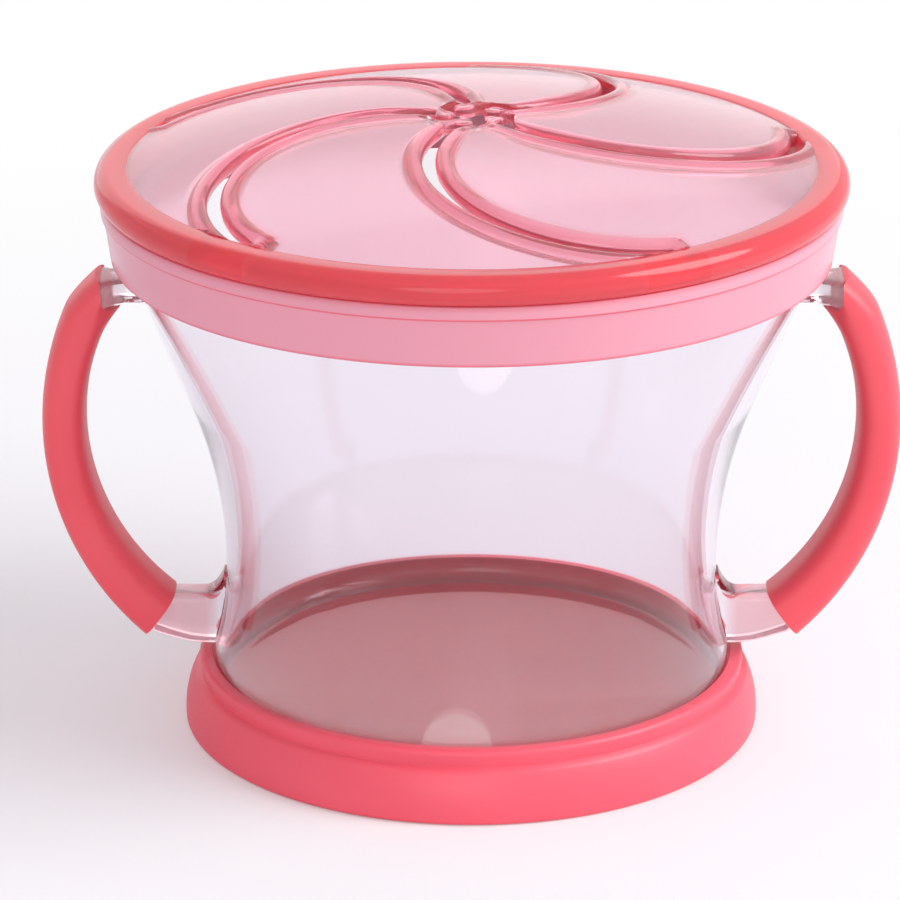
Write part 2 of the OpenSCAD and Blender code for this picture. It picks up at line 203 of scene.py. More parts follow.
def meshPiece(name, points, faces, sharp=40, thick=None):
    # points in mm; doubles are merged, faces are turned outwards and edges over the sharp angle stay crisp.
    # thick marks, from 0 to 1, the points where the piece is thick and takes its deeper colour
    data = bpy.data.meshes.new(name)
    corners = [list(dict.fromkeys(face)) for face in faces]
    data.from_pydata((np.asarray(points).reshape(-1, 3) * mm).tolist(), [], corners)
    if thick is not None:
        data.attributes.new("thick", "FLOAT", "POINT").data.foreach_set("value", np.ravel(thick).astype("f"))
    shape = bmesh.new()
    shape.from_mesh(data)
    bmesh.ops.remove_doubles(shape, verts=shape.verts, dist=2e-6)
    bmesh.ops.dissolve_degenerate(shape, dist=1e-7, edges=shape.edges)
    bmesh.ops.recalc_face_normals(shape, faces=shape.faces)
    if shape.calc_volume(signed=True) < 0:
        bmesh.ops.reverse_faces(shape, faces=shape.faces)
    shape.to_mesh(data)
    shape.free()
    data.polygons.foreach_set("use_smooth", [True] * len(data.polygons))
    data.set_sharp_from_angle(angle=math.radians(sharp))
    piece = bpy.data.objects.new(name, data)
    scene.collection.objects.link(piece)
    return piece


def sweptPiece(name, grid, sharp=40):
    # grid[row, column] is a closed outline carried along an open path. Each end is capped by a ladder
    # of strips between points at the same depth, so that it may be bent
    rows, columns = grid.shape[:2]
    climb = np.arange(columns // 2)
    left, right = (columns * 3 // 4 + climb) % columns, (columns * 3 // 4 - climb) % columns
    ladder = np.stack([left, (left + 1) % columns, (right - 1) % columns, right], 1)
    faces = [gridFaces(rows, columns, False, True), ladder[:, ::-1], ladder + (rows - 1) * columns]
    return meshPiece(name, grid, np.concatenate(faces).tolist(), sharp)


def wheel(angles, outlines):
    # x is radius times cosine and y radius times sine of each outline's own angle; its height stays
    radius, height = outlines[..., 0], outlines[..., 1]
    return np.stack([radius * np.cos(angles)[:, None], radius * np.sin(angles)[:, None], height], -1)


def turnedPiece(name, outline, steps, closed, sharp):
    # one outline of radius and height, set at even steps round Z
    angles = np.linspace(0, 2 * math.pi, steps, endpoint=False)
    return meshPiece(name, wheel(angles, np.stack([outline] * steps)),
                     gridFaces(steps, len(outline), True, closed), sharp)


def squaredEllipse(steps, power):
    # cosine and sine, each raised to 2 / power with its sign kept: power 2 is an ellipse, more is squarer
    turn = np.linspace(0, 2 * math.pi, steps, endpoint=False)
    return [np.sign(part) * np.abs(part) ** (2 / power) for part in (np.cos(turn), np.sin(turn))]


def evenCurve(points, count):
    # a smooth curve through a few points: Catmull-Rom, with its ends held
    points = np.asarray(points, float)
    padded = np.vstack([2 * points[0] - points[1], points, 2 * points[-1] - points[-2]])
    at = np.linspace(0, len(points) - 1, count)
    spot = np.minimum(at.astype(int), len(points) - 2)
    t = (at - spot)[:, None]
    a, b, c, d = (padded[spot + step] for step in range(4))
    return b + 0.5 * ((c - a) * t + (2 * a - 5 * b + 4 * c - d) * t ** 2 + (3 * b - a - 3 * c + d) * t ** 3)


def dress(piece, material, slot, *nodes):
    piece.data.materials.clear()
    piece.data.materials.append(material)
    if nodes:
        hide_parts(*nodes)
    return piece


slits = {
    "miss": 1.15,       # how far each slit's curve misses the lid's middle
    "over": 1.05,       # how far it runs past the ring inside the bead
    "width": 1.7,
    "facing": 243.6,    # direction of the first slit's curve centre
    "domeRise": 6.6,
    "blockWidth": 9.0,
    "blockTurn": -2.5,  # how far round from the slit's end its solid block is centred
    "stations": 240,    # even steps round the lid, before those at the blocks
}
slitRadius = (beadInner + slits["over"] - slits["miss"]) / 2
slitCentre = slitRadius + slits["miss"]
slitEnd = slits["facing"] - math.degrees(math.acos(
    (beadInner ** 2 + slitCentre ** 2 - slitRadius ** 2) / (2 * beadInner * slitCentre)))
domeRadius = (beadInner ** 2 + slits["domeRise"] ** 2) / (2 * slits["domeRise"])
domeCentre = beadTop + slits["domeRise"] - domeRadius


def domeHeight(x, y):
    # height of the lid's ball-shaped face above a point
    return domeCentre + np.sqrt(domeRadius ** 2 - x ** 2 - y ** 2)


def circleAngle(radius, reach):
    # how far round from a slit's facing direction the circle of that reach crosses a given radius
    share = (radius ** 2 + slitCentre ** 2 - reach ** 2) / (2 * radius * slitCentre)
    return np.degrees(np.arccos(np.clip(share, -1, 1)))


def notchedAngles(halfWidth, radius, soft=0.06):
    # angles round the lid, with two close stations at each end of every solid block
    spread = math.degrees(halfWidth / radius)
    plain = np.linspace(0, 360, slits["stations"], endpoint=False)
    middle = slitEnd + slits["blockTurn"]
    ends = [(middle + k * flapTurn + side * (spread + step * soft)) % 360
            for k in range(flapCount) for side in (-1, 1) for step in (-1, 1)]
    angles = np.sort(np.concatenate([plain, ends]))
    away = np.abs((angles - middle + flapTurn / 2) % flapTurn - flapTurn / 2)
    return np.radians(angles), away < spread


bead = {
    "centre": 48.07, "radius": 2.08, "inner": beadInner, "low": 75.06,
    "channelIn": 46.5, "channelOut": 48.44, "channelTop": 77.32, "channelRound": 0.25, "trace": 0.02,
    "crownTo": -56,     # direction in which the round crown ends, in degrees
    "innerRounds": [0.3, 0.55],
}


def beadOutline(solid):
    # a round crown from its top to under its side, the channel for the ring's rib, then the inner side.
    # A solid block is the same outline with its channel closed to a trace
    low, top = bead["low"], beadTop
    crown = arcPoints((bead["centre"], top - bead["radius"]), bead["radius"], 90, bead["crownTo"], 22)
    deep = low + bead["trace"] if solid else bead["channelTop"]
    corner = bead["trace"] * 0.45 if solid else bead["channelRound"]
    inside = rounded([(bead["channelOut"], low), (bead["channelOut"], deep), (bead["channelIn"], deep),
                      (bead["channelIn"], low)], [0, corner, corner, 0], 3)
    inner = rounded([(bead["channelIn"], low), (bead["inner"], low), (bead["inner"], top),
                     (bead["centre"], top)], [0, *bead["innerRounds"], 0], 5)
    return np.concatenate([crown, inside, inner[1:-1]])


angles, solid = notchedAngles(slits["blockWidth"] / 2, bead["centre"])
outlines = np.where(solid[:, None, None], beadOutline(True), beadOutline(False))
softBead = meshPiece("lid_bead", wheel(angles, outlines),
                     gridFaces(len(angles), outlines.shape[1], True, True), 50,
                     np.repeat(solid, outlines.shape[1]))
print("stage: soft bead")

ring = {
    "low": 66.6, "inside": 47.1, "outsideLow": 48.1, "outsideTop": 49.0, "stepLow": 73.1, "stepOut": 49.35,
    "top": 75.0, "shelfIn": 45.1, "shelfLow": 73.8, "ribIn": 46.56, "ribOut": 48.38, "ribTop": 77.26,
    "stepRise": 0.12,
    "trace": 0.03,      # height left of the rib where it stops at a solid block
    "blockGap": 0.2,    # how far before a block it stops
    # corner radii of the outline in its order, before and after the rib's two
    "roundsBefore": [0.2, 0.42, 0.08, 0.1, 0.25, 0], "roundsAfter": [0, 0.2, 0.2, 0.4],
}


def ringOutline(solid):
    # side wall with its draft, a small step, the shelf, and the rib that the bead is moulded over
    ribTop = ring["top"] + ring["trace"] if solid else ring["ribTop"]
    soft = 0.01 if solid else 0.2
    return rounded(
        [(ring["inside"], ring["low"]), (ring["outsideLow"], ring["low"]),
         (ring["outsideTop"], ring["stepLow"]), (ring["stepOut"], ring["stepLow"] + ring["stepRise"]),
         (ring["stepOut"], ring["top"]), (ring["ribOut"], ring["top"]), (ring["ribOut"], ribTop),
         (ring["ribIn"], ribTop), (ring["ribIn"], ring["top"]), (ring["shelfIn"], ring["top"]),
         (ring["shelfIn"], ring["shelfLow"]), (ring["inside"], ring["shelfLow"])],
        [*ring["roundsBefore"], soft, soft, *ring["roundsAfter"]], 4)


angles, solid = notchedAngles(slits["blockWidth"] / 2 + ring["blockGap"], bead["centre"])
outlines = np.where(solid[:, None, None], ringOutline(True), ringOutline(False))
lidRing = meshPiece("lid_ring", wheel(angles, outlines),
                    gridFaces(len(angles), outlines.shape[1], True, True), 35)
print("stage: lid ring")

flapShape = {
    "sheet": 1.0, "rootRadius": 46.0, "tipFrom": 7.2, "rows": 96, "tipRows": 40, "panels": 26,
    "knobLift": -0.6,       # height of the knob's middle over the dome
    "straightFrom": 12.0,   # radius inside which the rows begin to straighten
    "heldTurn": 1.5,        # degrees round for each mm from the slit, past the slit's end
    "lipGap": 0.2,          # width kept free between the finger's two lips
    "sinkRows": 14,         # rows before the finger over which its lips begin to sink
    "sunk": [0, 0.45, 0.85],    # how far they have sunk: at the first of those rows, the last and the end
    "sunkUnder": 0.8,       # share of that on the underside
    "endRows": 7, "endHeight": 0.25,    # rows that close in to the knob's end, and the height left there
    "deepTo": 2.7, "deepFade": 0.5,     # distance in from a slit where the deeper colour ends, and its fade
    # distance in from a slit, height of the lip's top there, height of its underside
    "lip": [(0.0, -0.62, -0.95), (0.08, -0.25, -1.5), (0.3, 0.08, -1.85), (0.65, 0.28, -2.04),
            (1.1, 0.35, -2.1), (1.55, 0.28, -2.04), (1.88, 0.1, -1.85), (2.1, 0.02, -1.45),
            (2.25, 0.0, -1.12), (2.55, 0.0, -1.0)],
    # edges of the hooked finger at the tip of the first flap, from the sheet to the knob's end
    "ownEdge": [(-7.19, 0.25), (-6.5, -0.35), (-5.95, -1.8), (-5.05, -2.68), (-3.7, -3.05), (-2.5, -2.8),
                (-1.7, -2.28), (-1.05, -2.14), (-0.25, -2.45), (0.16, -3.1)],
    "nextEdge": [(-3.95, -6.02), (-3.5, -5.2), (-3.18, -4.62), (-2.95, -4.25), (-2.6, -4.2), (-2.15, -4.3),
                 (-1.65, -4.58), (-1.08, -4.72), (-0.28, -4.42), (0.16, -3.76)],
}


def sheetAngles(radius, depth, share):
    # angles across the sheet at each radius: the lip at its own slit, the panel, the lip at the next slit
    half = slits["width"] / 2
    held = slitEnd + flapShape["heldTurn"] * depth
    own = slits["facing"] - circleAngle(radius, slitRadius - half - depth)
    reached = radius <= slitCentre + slitRadius - half - depth
    own = np.where(reached, np.minimum(own, held), held)
    beyond = slits["facing"] + flapTurn - circleAngle(radius, slitRadius + half + depth)
    middle = own[:, -1:] + (beyond[:, -1:] - own[:, -1:]) * share
    return np.radians(np.concatenate([own, middle, beyond[:, ::-1]], 1))


def straightened(flat, radius):
    # towards the tip each row turns from an arc round the lid's middle into its own chord
    chord = flat[:, -1:] - flat[:, :1]
    chordShare = np.clip(np.sum((flat - flat[:, :1]) * chord, -1) / np.sum(chord ** 2, -1), 0, 1)
    straight = flat[:, :1] + chord * chordShare[..., None]
    start = flapShape["straightFrom"]
    ease = np.clip((start - radius) / (start - flapShape["tipFrom"]), 0, 1)[..., None]
    ease = ease ** 2 * (3 - 2 * ease)
    return flat * (1 - ease) + straight * ease


def fingerRows(depth, share):
    # the hooked finger between its two edges, whose lips share what width there is
    ownEdge = evenCurve(flapShape["ownEdge"], flapShape["tipRows"])
    nextEdge = evenCurve(flapShape["nextEdge"], flapShape["tipRows"])
    width = np.linalg.norm(nextEdge - ownEdge, axis=1)[:, None]
    fit = np.minimum(1, width / (2 * depth[-1] + flapShape["lipGap"]))
    ownSide, nextSide = depth * fit / width, 1 - depth[::-1] * fit / width
    between = ownSide[:, -1:] + (nextSide[:, :1] - ownSide[:, -1:]) * share
    across = np.concatenate([ownSide, between, nextSide], 1)[..., None]
    return ownEdge[:, None] * (1 - across) + nextEdge[:, None] * across


def sheetHeights(rows, topLift, lowLift):
    # heights of the sheet's top and underside over the dome, row by row
    panelTop, panelLow = np.zeros(flapShape["panels"]), np.full(flapShape["panels"], -flapShape["sheet"])
    topRow = np.concatenate([topLift, panelTop, topLift[::-1]])
    lowRow = np.concatenate([lowLift, panelLow, lowLift[::-1]])
    top, low = np.tile(topRow, (rows, 1)), np.tile(lowRow, (rows, 1))
    # the lips sink into the sheet towards the tips, which lie almost flush in the lid's middle
    sinkFrom, sinkTo = flapShape["rows"] - flapShape["sinkRows"], flapShape["rows"]
    sunk = np.interp(np.arange(rows), [sinkFrom, sinkTo, rows - 1], flapShape["sunk"])[:, None]
    top, low = top * (1 - sunk), low + (-flapShape["sheet"] - low) * sunk * flapShape["sunkUnder"]
    # the last rows close in to the knob's rounded end, as a quarter of an ellipse
    left = np.clip((rows - 1 - np.arange(rows)) / flapShape["endRows"], 0, 1)[:, None]
    shut = flapShape["endHeight"] + (1 - flapShape["endHeight"]) * np.sqrt(1 - (1 - left) ** 2)
    middle = flapShape["knobLift"]
    return middle + (top - middle) * shut, middle + (low - middle) * shut


def flapGrid(k):
    # rows run from the root to the tip, columns across from the flap's own slit to the next one
    depth, topLift, lowLift = np.array(flapShape["lip"]).T
    share = np.linspace(0, 1, flapShape["panels"] + 2)[1:-1]
    radius = np.linspace(flapShape["rootRadius"], flapShape["tipFrom"], flapShape["rows"])[:, None]
    angle = sheetAngles(radius, depth, share)
    flat = np.stack([radius * np.cos(angle), radius * np.sin(angle)], -1)
    flat = np.concatenate([straightened(flat, radius), fingerRows(depth, share)[1:]])
    turn = math.radians(k * flapTurn)
    x = flat[..., 0] * math.cos(turn) - flat[..., 1] * math.sin(turn)
    y = flat[..., 0] * math.sin(turn) + flat[..., 1] * math.cos(turn)
    top, low = sheetHeights(len(flat), topLift, lowLift)
    face = domeHeight(x, y)
    upper = np.stack([x, y, face + top], -1)
    lower = np.stack([x, y, face + low], -1)
    lipShare = np.clip((flapShape["deepTo"] - depth) / flapShape["deepFade"], 0, 1)
    thick = np.tile(np.concatenate([lipShare, 0 * share, lipShare[::-1]]), (len(flat), 1))
    return np.concatenate([upper, lower[:, ::-1]], 1), np.concatenate([thick, thick[:, ::-1]], 1)


flaps = []
for k in range(flapCount):
    grid, thick = flapGrid(k)
    rows, columns = grid.shape[:2]
    half = columns // 2
    faces = gridFaces(rows, columns, False, True)
    spot = np.arange(half - 1)
    root = np.stack([spot, spot + 1, columns - 2 - spot, columns - 1 - spot], 1)
    tipEnd = (rows - 1) * columns + root[:, ::-1]
    flaps.append(meshPiece(f"flap_sheet_{k + 1}", grid, np.concatenate([faces, root, tipEnd]), 60, thick))
print("stage: flaps")

cupShape = {
    "rim": 73.5, "neck": 46.3, "neckFrom": 67.5, "waist": 33.35, "waistAt": 22.5, "slope": 0.4,
    "footCurve": 38.0, "footFrom": 8.3, "foot": 1.6, "wall": 1.8, "floorLow": 4.5, "floorTop": 6.5,
    "snapAt": 70.5, "snapOut": 0.35,
    "snapShape": [(0.0, 1.2), (0.7, 0.75), (1.0, 0.35)],    # share of its height, distance from its middle
    # the inside runs into the floor from this height over it, reaching in this far, with this radius
    "floorFrom": 3.0, "floorReach": 1.1, "floorRound": 2.2,
    "footRounds": [0.6, 0.4, 0.4], "rimRound": 0.5,
    "armWall": 40.0,    # radius to which the arms' inner ends are rounded
}
flareAngle = math.degrees(math.atan(cupShape["slope"]))
flareRadius = ((cupShape["waist"] + cupShape["slope"] * (cupShape["neckFrom"] - cupShape["waistAt"])
                - cupShape["neck"]) / (cupShape["slope"] * math.sin(math.radians(flareAngle))
                                       + math.cos(math.radians(flareAngle)) - 1))
footRadius = cupShape["waist"] + cupShape["footCurve"] - math.sqrt(
    cupShape["footCurve"] ** 2 - (cupShape["waistAt"] - cupShape["footFrom"]) ** 2)


def wallLine(inset):
    # arc below the waist, arc above it, a straight flare, then the neck: radius and height going up
    below = math.degrees(math.asin((cupShape["waistAt"] - cupShape["footFrom"]) / cupShape["footCurve"]))
    lower = arcPoints((cupShape["waist"] + cupShape["footCurve"], cupShape["waistAt"]),
                      cupShape["footCurve"], 180 + below, 180, 26)
    upper = arcPoints((cupShape["waist"] + flareRadius, cupShape["waistAt"]), flareRadius,
                      180, 180 - flareAngle, 30)
    line = np.concatenate([lower, upper[1:], [(cupShape["neck"], cupShape["neckFrom"])]])
    line[:, 0] -= inset
    return line


def cupOutline():
    outer, inner = wallLine(0), wallLine(cupShape["wall"])
    neck, wall, rim = cupShape["neck"], cupShape["wall"], cupShape["rim"]
    inside = inner[inner[:, 1] > cupShape["floorTop"] + cupShape["floorFrom"]]
    floorRadius = inside[0, 0] + cupShape["floorReach"]
    corner = rounded([inside[0], (floorRadius, cupShape["floorTop"]), (0.0, cupShape["floorTop"])],
                     [0, cupShape["floorRound"], 0], 8)
    foot = rounded([(0, cupShape["floorLow"]), (footRadius - wall, cupShape["floorLow"]),
                    (footRadius - wall, cupShape["foot"]), (footRadius, cupShape["foot"]),
                    (footRadius, cupShape["footFrom"])], [0, *cupShape["footRounds"], 0], 4)
    snap, out, shape = cupShape["snapAt"], cupShape["snapOut"], cupShape["snapShape"]
    snapLine = [(neck + out * share, snap - away) for share, away in shape]
    snapLine += [(neck + out * share, snap + away) for share, away in reversed(shape)]
    rimLine = rounded([snapLine[-1], (neck, rim), (neck - wall, rim), (neck - wall, snap)],
                      [0, cupShape["rimRound"], cupShape["rimRound"], 0], 5)
    return np.concatenate([[(0.0, cupShape["floorLow"])], foot[1:-1], outer, snapLine, rimLine[1:],
                           inside[::-1], corner[1:]])


def loftedBar(name, stations, steps=40):
    # a bar along X: each station gives x, its underside, its top and its width, round which the
    # squared ellipse is drawn. Its first row follows the middle of the cup's wall
    side, lift = squaredEllipse(steps, 5.0)
    x, low, high, width = np.asarray(stations, float).T[..., None]
    grid = np.stack([x + 0 * side, width / 2 * side, (low + high) / 2 + (high - low) / 2 * lift], -1)
    middleWall = wallLine(cupShape["wall"] / 2)
    # an arc falls back by the square of the distance aside over twice its radius
    fallBack = grid[0, :, 1] ** 2 / (2 * cupShape["armWall"])
    grid[0, :, 0] = np.interp(grid[0, :, 2], middleWall[:, 1], middleWall[:, 0]) - fallBack
    return sweptPiece(name, grid)


gripShape = {
    "span": 115.8, "widestAt": 42.4, "outer": 41.0, "inner": 32.0, "thick": 5.9, "wide": 10.0,
    "innerRise": 0.4, "skin": 1.5, "coreWide": 5.4,
    # heights at which the outer and the inner arc of the skin start and stop, and those of the core
    "skinTop": (63.2, 59.05), "skinFoot": (12.25, 18.1), "coreTop": (60.0, 57.0), "coreFoot": (16.0, 20.5),
    # line of the skin's upper mouth: share of the way out from the inner arc, x and height
    "mouth": [(0.0, 47.0, 59.05), (0.12, 48.9, 59.25), (0.25, 49.35, 60.0), (0.85, 49.45, 63.1),
              (1.0, 50.4, 63.45)],
    "mouthShare": 0.09,     # share of the rows over which that line straightens
}
gripOuterX = gripShape["span"] / 2 - gripShape["outer"]
gripInnerX = gripShape["span"] / 2 - gripShape["thick"] - gripShape["inner"]
gripInnerZ = gripShape["widestAt"] + gripShape["innerRise"]


def outerAngle(z):
    return math.degrees(math.asin((z - gripShape["widestAt"]) / gripShape["outer"]))


def innerAngle(z):
    return math.degrees(math.asin((z - gripInnerZ) / gripShape["inner"]))


def gripGrid(inset, wide, power, top, foot, rows, steps, mouth=None):
    # a squared ellipse carried between two eccentric arcs; the first row may follow a bent line instead
    outer = arcPoints((gripOuterX, gripShape["widestAt"]), gripShape["outer"] - inset,
                      outerAngle(top[0]), outerAngle(foot[0]), rows - 1)
    inner = arcPoints((gripInnerX, gripInnerZ), gripShape["inner"] + inset,
                      innerAngle(top[1]), innerAngle(foot[1]), rows - 1)
    side, lift = squaredEllipse(steps, power)
    depth = 0.5 + 0.5 * lift
    flat = inner[:, None] + (outer - inner)[:, None] * depth[:, None]
    if mouth:
        share, x, z = np.array(mouth).T
        bent = np.stack([np.interp(depth, share, x), np.interp(depth, share, z)], -1)
        fade = np.clip(1 - np.arange(rows) / (rows * gripShape["mouthShare"]), 0, 1)[:, None, None]
        flat = flat + (bent - flat[0]) * fade ** 1.5
    return np.stack([flat[..., 0], np.broadcast_to(wide / 2 * side, flat.shape[:2]), flat[..., 1]], -1)


gripRows = gripGrid(0, gripShape["wide"], 2.9, gripShape["skinTop"], gripShape["skinFoot"], 120, 56,
                    gripShape["mouth"])
coreRows = gripGrid(gripShape["skin"], gripShape["coreWide"], 5.0, gripShape["coreTop"],
                    gripShape["coreFoot"], 60, 32)
rightGrip = sweptPiece("right_grip_skin", gripRows, 55)
leftGrip = sweptPiece("left_grip_skin", gripRows * np.array([-1, 1, 1]), 55)
print("stage: grips")

arms = {
    # stations of x, underside, top and width; the lower arm's fillet falls as a power of the way along it
    "upper": [(43.0, 59.6, 63.0, 6.0), (45.0, 59.6, 63.0, 6.0), (46.5, 59.6, 63.05, 6.2),
              (48.0, 59.45, 63.15, 7.2), (49.6, 59.15, 63.2, 8.5), (50.2, 59.2, 62.7, 8.2),
              (50.8, 59.6, 61.9, 7.0), (51.8, 57.9, 60.9, 5.2)],
    "lowerStart": [(32.4, 10.6, 20.9, 5.4)],
    "fillet": [(33.7 + 3.0 * way, 10.6 + 0.05 * way, 18.0 + 2.9 * (1 - way) ** 2.6, 5.4)
               for way in np.linspace(0, 1, 15)],
    "lowerEnd": [(38.5, 10.85, 18.02, 5.4), (40.5, 11.4, 18.05, 5.4), (43.0, 12.2, 18.1, 5.4),
                 (44.4, 13.2, 17.7, 5.4), (45.8, 15.2, 18.8, 5.2), (46.6, 16.4, 19.7, 5.0)],
}
body = turnedPiece("cup_body", cupOutline(), 224, False, 38)


def union(target, extra):
    # joins a bar to the cup's wall as one solid
    made = target.modifiers.new("join", "BOOLEAN")
    made.operation, made.solver, made.object = "UNION", "EXACT", extra
    graph = bpy.context.evaluated_depsgraph_get()
    joined = bpy.data.meshes.new_from_object(target.evaluated_get(graph))
    target.modifiers.clear()
    old, target.data = target.data, joined
    bpy.data.meshes.remove(old)
    spare = extra.data
    bpy.data.objects.remove(extra)
    bpy.data.meshes.remove(spare)


lowerArm = arms["lowerStart"] + arms["fillet"] + arms["lowerEnd"]
for side in (1, -1):
    handed = np.array([side, 1, 1])
    for stations in (arms["upper"], lowerArm):
        bar = loftedBar("arm", stations)
        if side < 0:
            bar.data.transform(((-1, 0, 0, 0), (0, 1, 0, 0), (0, 0, 1, 0), (0, 0, 0, 1)))
            bar.data.flip_normals()
        union(body, bar)
    union(body, sweptPiece("core", coreRows * handed))
body.data.polygons.foreach_set("use_smooth", [True] * len(body.data.polygons))
body.data.set_sharp_from_angle(angle=math.radians(38))
print("stage: cup", len(body.data.polygons))

footShape = {
    "height": 9.8, "stand": footRadius + 3.1, "lip": footRadius + 0.8, "sole": 1.66, "soleIn": footRadius - 6,
    "soleRise": 0.8, "soleBevel": 0.9, "standWidth": 2, "flareIn": 1.6, "flareFrom": 1.5, "edge": 0.8,
    "lipHeight": 2.5, "lipRound": 0.7, "lipOut": 0.3, "sunk": 0.06,
    # the groove under the lip: how far out it lies, and from where to where it goes over the flare
    "grooveOut": 0.08, "grooveFrom": 0.12, "grooveTo": 0.35,
    "flareShort": 0.25,     # how far under the groove the flare's arc stops
}


def footOutline():
    # standing edge, a flare that curves in, a fine groove, then a rounded lip against the cup's wall
    stand, top = footShape["stand"], footShape["height"]
    flareFrom, flareTo = footShape["flareFrom"], top - footShape["lipHeight"]
    rise = flareTo - flareFrom
    flareRadius = (rise ** 2 + footShape["flareIn"] ** 2) / (2 * footShape["flareIn"])
    flareStop = math.degrees(math.asin((rise - footShape["flareShort"]) / flareRadius))
    flare = arcPoints((stand - flareRadius, flareFrom), flareRadius, 0, flareStop, 16)
    edge = arcPoints((stand - footShape["edge"], footShape["edge"]), footShape["edge"], -90, 0, 6)
    groove, lipRadius = footShape["lip"] + footShape["grooveOut"], footShape["lipRound"]
    lip = arcPoints((footShape["lip"] + footShape["lipOut"] - lipRadius, top - lipRadius), lipRadius,
                    -20, 90, 8)
    grooveLine = rounded([flare[-1], (groove, flareTo + footShape["grooveFrom"]),
                          (groove, flareTo + footShape["grooveTo"]), lip[0]], [0, 0.08, 0.08, 0], 3)
    inner, sole, soleRise, sunk = (footShape[key] for key in ("soleIn", "sole", "soleRise", "sunk"))
    wall = wallLine(sunk)
    padTop, padRadius = cupShape["floorLow"] + sunk, footRadius - cupShape["wall"] + sunk
    under = rounded([(0, soleRise), (inner - footShape["soleBevel"], soleRise), (inner, 0),
                     (inner + footShape["standWidth"], 0)], [0, 0.4, 0.5, 0], 4)[:-1]
    pad = [(footRadius - sunk, sole), (padRadius, sole), (padRadius, padTop), (0, padTop)]
    return np.concatenate([under, edge, flare, grooveLine[1:-1], lip,
                           [(np.interp(top, *wall.T[::-1]), top)], wall[wall[:, 1] < top][::-1], pad])


footRing = turnedPiece("foot_ring", footOutline(), 256, False, 42)
print("stage: foot ring")

# in metres: where the painted coral in the clear arms and over the foot, and the painted shade lines of the
# ring, begin and where they are full
paintedBands = {
    "lowerOut": (0.0345, 0.0365), "lowerDown": (0.026, 0.022), "upperOut": (0.0464, 0.0472),
    "upperUp": (0.05, 0.055), "footDown": (0.011, 0.0066), "ringEdge": (0.0669, 0.0672),
    "ringTop": (0.0742, 0.075), "stepLine": (0.0001, 0.00026),
}


def clearFinish():
    # clear moulded plastic with a breath of lavender in its thickness
    made = newFinish("clear plastic")
    smear = made.noise(22.0, 2.0, (1.0, 1.0, 0.25))
    side, z = abs(made.along("X")), made.along("Z")
    # painted reflection: the coral of the grips and of the foot ring, seen through and mirrored in the
    # plastic next to them, is painted into its colour
    lower = made.span(side, *paintedBands["lowerOut"], 0.0, 1.0) * made.span(z, *paintedBands["lowerDown"], 0.0, 1.0)
    upper = made.span(side, *paintedBands["upperOut"], 0.0, 1.0) * made.span(z, *paintedBands["upperUp"], 0.0, 1.0)
    paintedCoral = lower * 0.5 + upper * 0.06 + made.span(z, *paintedBands["footDown"], 0.0, 1.0)
    bsdf = made.surface(
        Base_Color=made.blend(paintedCoral, made.blend(smear, tint(249, 246, 250), tint(252, 250, 253)),
                              tint(250, 150, 158)),
        Roughness=made.span(made.noise(140.0), 0.3, 0.7, 0.015, 0.045) + upper * 0.2 + lower * 0.06,
        IOR=1.46, Transmission_Weight=1.0, Normal=made.bump(smear, 0.06, 0.0006))
    # the thick arms are a little milky beside the clear wall
    milk = made.surface(Base_Color=tint(255, 240, 244), Roughness=0.35, IOR=1.46)
    mixed = made.node("ShaderNodeMixShader", inputs={0: lower * 0.2 + upper * 0.18, 1: bsdf, 2: milk})
    return made.output(Surface=mixed, Volume=made.fog((0.72, 0.45, 0.74), 20.0))


def softFinish(name, density, thin, deep, clearness, rough):
    # translucent moulded rubber: clear where it is thin, deeper in its lips and solid blocks
    made = newFinish(name)
    thick = made.node("ShaderNodeAttribute", {"attribute_name": "thick"}, out="Fac")
    cloudy = made.span(made.noise(60.0, 3.0), 0.35, 0.65, -0.08, 0.08)
    bsdf = made.surface(
        Base_Color=made.blend(thick + cloudy, thin, deep),
        Roughness=made.span(made.noise(900.0, 2.0), 0.3, 0.7, rough * 0.8, rough * 1.25), IOR=1.42,
        Specular_IOR_Level=0.38, Transmission_Weight=clearness,
        Normal=made.bump(made.noise(45.0, 1.0), 0.05, 0.0004))
    return made.output(Surface=bsdf, Volume=made.fog((0.99, 0.02, 0.28), density))


def ringFinish():
    # milky pink rigid plastic, with painted shade: its colour is deepened along the step, at the lower edge
    # and under the bead, where shade falls
    made = newFinish("milky pink plastic")
    cloudy, z = made.noise(35.0, 3.0), made.along("Z")
    stepMiddle = (ring["stepLow"] + ring["stepRise"] / 2) * mm
    step = made.span(abs(z - stepMiddle), *paintedBands["stepLine"], 0.8, 0.0)
    edge = made.span(z, *paintedBands["ringEdge"], 0.55, 0.0)
    under = made.span(z, *paintedBands["ringTop"], 0.0, 0.5)
    bsdf = made.surface(
        Base_Color=made.blend(step + edge + under,
                              made.blend(cloudy, tint(254, 170, 188), tint(254, 178, 194)),
                              tint(252, 104, 124)),
        Roughness=made.span(made.noise(60.0), 0.3, 0.7, 0.2, 0.26), IOR=1.42,
        Specular_IOR_Level=0.36, Transmission_Weight=0.2,
        Normal=made.bump(made.noise(40.0, 1.0), 0.02, 0.0004))
    return made.output(Surface=bsdf)


def rubberFinish(name, deep, light, rough):
    # opaque satin rubber with a very fine grain
    made = newFinish(name)
    cloudy = made.noise(40.0, 3.0)
    grain = made.noise(2600.0, 2.0)
    bsdf = made.surface(
        Base_Color=made.blend(made.span(cloudy, 0.35, 0.65, 0.0, 1.0), deep, light),
        Roughness=made.span(grain, 0.3, 0.7, rough * 0.9, rough * 1.12), Specular_IOR_Level=0.65,
        Subsurface_Weight=0.12, Subsurface_Radius=(1.0, 0.25, 0.2), Subsurface_Scale=0.002,
        Normal=made.bump(grain, 0.08, 0.00012))
    return made.output(Surface=bsdf)


